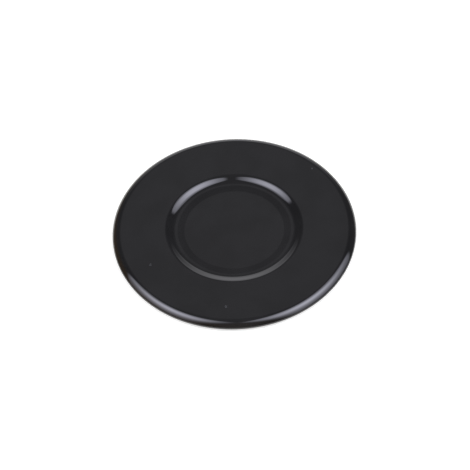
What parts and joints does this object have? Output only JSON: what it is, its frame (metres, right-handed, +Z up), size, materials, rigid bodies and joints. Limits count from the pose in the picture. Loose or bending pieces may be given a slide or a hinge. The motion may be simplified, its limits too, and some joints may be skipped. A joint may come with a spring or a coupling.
{
  "type": "gas burner cap",
  "caption": "Round gas burner cap pressed from enamelled steel, with a shallow round recess in its top, a locating boss below it and a rim turned down to a rounded edge.",
  "frame": {"origin": "on the cap's axis, level with the lowest face of the locating boss", "axes": "+Z up through the flat top; X and Y are free, because the cap is round"},
  "size_m": [0.075, 0.075, 0.0027],
  "materials": {
    "enamel": "gloss black vitreous enamel"
  },
  "bodies": {
    "root": {"burner_cap": "enamel"}
  },
  "joints": []
}
